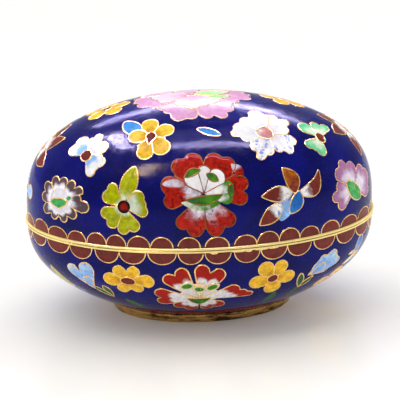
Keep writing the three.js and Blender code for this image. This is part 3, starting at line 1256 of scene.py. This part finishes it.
class BOX_OT_stage(Operator):
    """Set up the pale floor, the soft light and the camera"""

    bl_idname = "cloisonne.stage"
    bl_label = "Stage"

    def light(self, name, place, aim, across, along, power, shade=(1, 1, 1), lights=True, shines=True):
        """A soft panel that lights matt surfaces, shines back from polished ones, or both."""
        lamp = bpy.data.lights.new(name, "AREA")
        lamp.shape = "RECTANGLE"
        lamp.size, lamp.size_y = across, along
        lamp.energy = power
        lamp.color = shade
        holder = bpy.data.objects.new(name, lamp)
        holder.location = place
        holder.rotation_euler = (Vector(aim) - Vector(place)).to_track_quat("-Z", "Y").to_euler()
        holder.visible_diffuse = lights
        holder.visible_glossy = shines
        bpy.context.scene.collection.objects.link(holder)

    def floor(self):
        bm = bmesh.new()
        bmesh.ops.create_grid(bm, x_segments=8, y_segments=8, size=6)
        mesh = bpy.data.meshes.new("floor")
        bm.to_mesh(mesh)
        bm.free()
        floor = bpy.data.objects.new("floor", mesh)
        bpy.context.scene.collection.objects.link(floor)
        paper = Finish("white paper", Roughness=0.22, Emission_Color=(1, 1, 1, 1), Emission_Strength=0.03)
        shade = paper.fit(paper.grain(40), 0.3, 0.7)
        paper.give("Base Color", paper.blend(shade, (0.81, 0.795, 0.765), (0.83, 0.815, 0.785)))
        mesh.materials.append(paper.material)

    def camera(self):
        flat = VIEW_DISTANCE * math.cos(VIEW_ELEVATION)
        back = Vector((-flat * math.sin(VIEW_SIDEWAYS), -flat * math.cos(VIEW_SIDEWAYS), 0))
        back.z = VIEW_DISTANCE * math.sin(VIEW_ELEVATION)
        lens = bpy.data.cameras.new("camera")
        lens.lens = LENS
        lens.sensor_width = 36
        lens.clip_start = 0.01
        camera = bpy.data.objects.new("camera", lens)
        place = VIEW_PIVOT + back
        aim = (VIEW_AIM - place).to_track_quat("-Z", "Y").to_matrix().to_4x4()
        camera.matrix_world = Matrix.Translation(place) @ aim @ Matrix.Rotation(-VIEW_ROLL, 4, "Z")
        bpy.context.scene.collection.objects.link(camera)
        bpy.context.scene.camera = camera

    def execute(self, context):
        self.floor()
        self.camera()
        middle = (0, 0, 0.03)
        self.light("ceiling", (-0.12, 0.5, 1.3), (0, 0.1, 0), 2.4, 1.6, 24, shines=False)
        self.light("left wall", (-1.0, 0.2, 0.35), middle, 1.4, 0.7, 9, shines=False)
        self.light("right wall", (1.0, 0.2, 0.35), middle, 1.4, 0.7, 9, shines=False)
        self.light("front fill", (0.2, -1.1, 0.6), middle, 1.2, 0.8, 2.2, (1, 0.84, 0.62), shines=False)
        self.light("front strip", (0.1, -0.05, 0.9), (0.1, -0.05, 0), 0.46, 0.1, 8, LAVENDER, lights=False)
        self.light("top strip", (0.1, 0.12, 0.9), (0.1, 0.12, 0), 0.44, 0.3, 1, LAVENDER, lights=False)
        self.light("back strip", (0.03, 1.08, 0.9), middle, 1.0, 0.13, 11, LAVENDER, lights=False)
        self.light("right strip", (0.45, 1.0, 0.92), middle, 0.5, 0.13, 6, LAVENDER, lights=False)
        self.light("left panel", (-0.37, 0.25, 0.9), (-0.37, 0.2, 0), 0.1, 0.45, 17, LAVENDER, lights=False)
        self.light("warm lamp", (-0.43, -0.6, 0.9), middle, 0.16, 0.34, 8, (1, 0.72, 0.42), lights=False)
        world = bpy.data.worlds.new("studio")
        world.use_nodes = True
        backdrop = world.node_tree.nodes["Background"]
        backdrop.inputs["Color"].default_value = (1, 1, 1, 1)
        backdrop.inputs["Strength"].default_value = 0.36
        context.scene.world = world
        context.scene.view_settings.view_transform = "Standard"
        return {"FINISHED"}


class BOX_PT_panel(Panel):
    """Lists the sizes, the colours and the steps that build the box"""

    bl_idname = "BOX_PT_panel"
    bl_label = "Cloisonne Box"
    bl_space_type = "VIEW_3D"
    bl_region_type = "UI"
    bl_category = "Cloisonne Box"

    def draw(self, context):
        for group in (context.scene.box_sizes, context.scene.box_colours):
            for name in group.__annotations__:
                self.layout.prop(group, name)
        for step in STEPS:
            self.layout.operator(step.bl_idname)


STEPS = (
    BOX_OT_stage,
    BOX_OT_shells,
    BOX_OT_rims,
    BOX_OT_foot,
    BOX_OT_borders,
    BOX_OT_lid_flowers,
    BOX_OT_bowl_flowers,
)
CLASSES = (BoxSizes, BoxColours, *STEPS, BOX_PT_panel)


def register():
    for cls in CLASSES:
        bpy.utils.register_class(cls)
    bpy.types.Scene.box_sizes = PointerProperty(type=BoxSizes)
    bpy.types.Scene.box_colours = PointerProperty(type=BoxColours)


def unregister():
    del bpy.types.Scene.box_colours
    del bpy.types.Scene.box_sizes
    for cls in reversed(CLASSES):
        bpy.utils.unregister_class(cls)


def main():
    register()
    bpy.ops.cloisonne.stage()
    bpy.ops.cloisonne.shells()
    bpy.ops.cloisonne.rims()
    bpy.ops.cloisonne.foot()
    bpy.ops.cloisonne.borders()
    bpy.ops.cloisonne.lid_flowers()
    bpy.ops.cloisonne.bowl_flowers()


if __name__ == "__main__":
    main()
